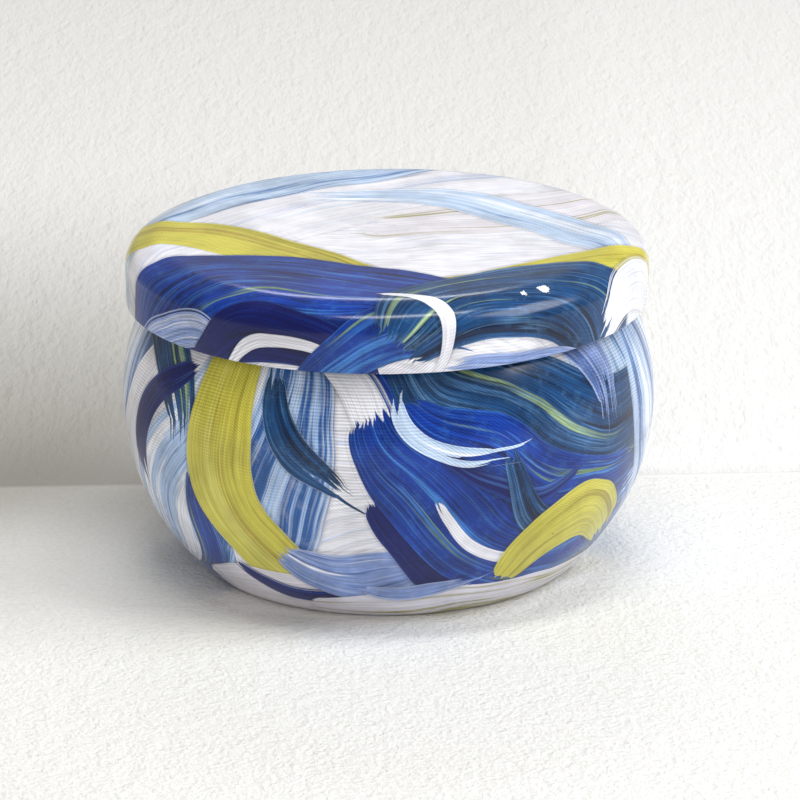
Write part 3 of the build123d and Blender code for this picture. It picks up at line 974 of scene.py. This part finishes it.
def lid_print():
    """The printed outside of the lid, with its strokes on the flat disc that it was drawn from."""
    material, tree, surface, place = new_material("lid_print")
    disc = on_disc(tree)
    for scale, amount in ((45.0, 10.0), (200.0, 0.4)):
        disc = vector_maths(tree, "ADD", disc, warped(tree, place, scale, amount))
    flat = vector_maths(tree, "MULTIPLY", disc, (1.0, 1.0, 0.0))
    across, up = split(tree, flat)[:2]

    def arm_to(middle):
        return maths(tree, "SUBTRACT", across, middle.x), maths(tree, "SUBTRACT", up, middle.y)

    ground = vector_maths(tree, "MULTIPLY", flat, (0.06, 1.0, 0.0))
    strokes = [
        ("sky", (-46, -8), (14, 42), 13, 13, 26),
        ("marbled", (48, -14), (8, 46), -12, 7, 24),
        ("white", (-36, -24), (22, 26), 10, 10, 22),
        ("straw", (40, 26), (-2, 4), 7, 9, 14),
        ("sky", (34, -16), (-8, 20), -8, 5, 26),
        ("lemon", (-52, 6), (-2, -25), 7, 6.5, 12),
        ("lemon", (2, -28), (48, 0), -6, 6, 12),
        ("navy", (-50, -12), (-18, -48), -7, 8, 14),
        ("cobalt", (-46, -22), (12, -36), 6, 11, 14),
        ("periwinkle", (-47, -20), (-28, -31), 3, 3, 26),
        ("navy", (-34, -32), (-2, -47), 5, 4.5, 16),
        ("white", (-29, -36), (-6, -43), 4, 0.9, 16),
        ("cobalt", (-16, -47), (10, -38), 3, 4.5, 14),
        ("teal", (2, -40), (44, -30), 8, 9, 20),
        ("white", (0, -31), (9, -46), 4, 0.8, 16),
        ("periwinkle", (12, -44), (44, -20), -6, 4, 24),
        ("white", (34, -26), (50, -6), 4, 4, 20),
    ]
    colour = laid_strokes(tree, place, arm_to, ground, "white", strokes)
    # Two chips on the shoulder, down to the white base coat.
    for x, y, size in ((19.6, -29.4, 0.85), (22.8, -27.2, 1.15)):
        aside = vector_maths(tree, "DISTANCE", flat, (x, y, 0.0))
        torn = maths(tree, "MULTIPLY_ADD", noisy(tree, flat, 0.9, 3.0, 0.7), 2.6, aside)
        chip = ramped(tree, torn, size + 0.9, size + 1.0, 1.0, 0.0)
        colour = mixed(tree, chip, colour, (0.9, 0.9, 0.89))
    reach = vector_maths(tree, "LENGTH", disc)
    finish_print(tree, surface, place, reach, colour, 36.0, 46.0)
    return material


lid = run_geometry_tree(
    "lid_shell",
    sheet_outline("lid_section", (0, LID_TOP_Z), LID_STEPS, -SHEET_T),
    SPUN_SHEET,
    Segments=SHEET_SEGMENTS,
    Dent_depth=DENT_DEPTH,
    Dent_seed=8.0,
    Outside=lid_print(),
    Inside=LACQUERED_TIN,
)
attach(lid, "lid")
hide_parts("lid")


# Stage: two off-white boards of rough plaster that meet behind the tin, lit by a window at the
# front right and three weaker lamps.
JOINT_Y, JOINT_SHADE, BOARD_SIDE = 0.031, (0.4, 0.39, 0.365), 3200.0


def plaster():
    """Rough plaster. The board behind the joint is coarser and its grain is drawn out away from the
    tin.
    Both boards carry painted shade along the joint left of the tin. The board behind the joint also
    carries a painted shadow that is darkest left of the tin and lightens to the right, away from the
    joint and away from the tin."""
    material, tree, surface, place = new_material("plaster_board")
    xyz = split(tree, place)
    past = maths(tree, "MULTIPLY_ADD", xyz["X"], -0.02, maths(tree, "SUBTRACT", xyz["Y"], JOINT_Y))
    behind = ramped(tree, past, -0.001, 0.001)
    grain = turned_into(tree, behind, place, vector_maths(tree, "MULTIPLY", place, (0.6, 0.2, 0.6)))
    grit = noisy(tree, grain, 1300.0, 3.0, 0.65)
    lumps = noisy(tree, grain, 420.0, 2.0, 0.6)
    tint = mixed(tree, ramped(tree, grit, 0.35, 0.65), (0.795, 0.8, 0.795), (0.85, 0.855, 0.855))
    # Painted shadow on the board behind the joint: dark left of the tin, near the joint and near the
    # tin; light to the right, further back and further out.
    shaded = ramped(tree, xyz["X"], -0.065, 0.05)
    near_tin = ramped(tree, vector_maths(tree, "LENGTH", place), 0.15, 0.42)
    lit = maths(tree, "MAXIMUM", shaded, ramped(tree, past, 0.0, 0.19, 0.0, 0.92))
    lit = maths(tree, "MAXIMUM", lit, near_tin)
    wall = mixed(tree, lit, (0.33, 0.322, 0.303), (0.81, 0.82, 0.83))
    # Painted shade in a thin band along the joint.
    wall = mixed(tree, ramped(tree, past, 0.0, 0.007, 0.16, 0.0), wall, JOINT_SHADE)
    # Painted shade on the front board just before the joint, left of the tin.
    painted_floor_shade = ramped(tree, xyz["X"], -0.06, 0.02, 0.7, 0.0)
    painted_floor_shade = maths(tree, "MULTIPLY", painted_floor_shade, ramped(tree, past, -0.032, 0.0))
    tint = mixed(tree, behind, mixed(tree, painted_floor_shade, tint, JOINT_SHADE), wall)
    plug(tree, surface, {"Base Color": tint, "Roughness": 0.9})
    height = maths(tree, "ADD", maths(tree, "MULTIPLY", lumps, 1.2), grit)
    rough = ramped(tree, maths(tree, "ABSOLUTE", past), 0.0003, 0.0012, 0.0, 0.9)
    bumped(tree, surface, height, rough, 0.0005)
    return material


side = BOARD_SIDE / 2
corners = [(-side, -side, 0.0), (side, -side, 0.0), (side, side, 0.0), (-side, side, 0.0)]
floor = new_object("floor", new_mesh("floor", corners, [], [(0, 1, 2, 3)]))
floor.data.materials.append(plaster())

world = bpy.data.worlds.new("studio")
bpy.context.scene.world = world
world.use_nodes = True
plug(
    world.node_tree,
    world.node_tree.nodes["Background"],
    {"Color": (1.0, 0.925, 0.8, 1.0), "Strength": 0.35},
)
LIGHT_AIM = Vector((0.0, 0.0, 0.025))


def soft_light(name, place, width, depth, power, tint=(1.0, 1.0, 1.0)):
    """An area light that faces the tin."""
    data = bpy.data.lights.new(name, "AREA")
    data.shape = "RECTANGLE"
    data.size = width
    data.size_y = depth
    data.energy = power
    data.color = tint
    lamp = new_object(name, data)
    lamp.location = place
    lamp.rotation_euler = (LIGHT_AIM - Vector(place)).to_track_quat("-Z", "Y").to_euler()
    return lamp


soft_light("window", (0.66, -0.18, 0.62), 0.5, 0.5, 5.2, (0.965, 0.985, 1.0))
soft_light("high_back", (-0.02, 0.62, 0.62), 0.3, 0.12, 0.9)
soft_light("overhead", (0.05, -0.12, 0.85), 0.5, 0.15, 3.0)
fill = soft_light("front_fill", (0.1, -1.0, 0.6), 0.9, 0.7, 3.1, (1.0, 0.98, 0.94))
fill.visible_glossy = False

# Camera: a little above the tin and straight in front of it, with a long lens.
CAMERA_D, CAMERA_RISE = 0.700738, math.radians(20.212)
CAMERA_YAW, CAMERA_DROP, CAMERA_ROLL = (math.radians(turn) for turn in (0.145, 18.405, -0.58))
camera = new_object("camera", bpy.data.cameras.new("camera"))
bpy.context.scene.camera = camera
camera.data.sensor_width = 36.0
camera.data.lens = 214.7355
camera.data.clip_start, camera.data.clip_end = 0.02, 10.0
aimed = Matrix.Rotation(-CAMERA_YAW, 4, "Z") @ Matrix.Rotation(math.pi / 2 - CAMERA_DROP, 4, "X")
away, above = CAMERA_D * math.cos(CAMERA_RISE), CAMERA_D * math.sin(CAMERA_RISE)
standing = Matrix.Translation((0.0, -away, above))
camera.matrix_world = standing @ aimed @ Matrix.Rotation(CAMERA_ROLL, 4, "Z")
bpy.context.scene.view_settings.view_transform = "Standard"
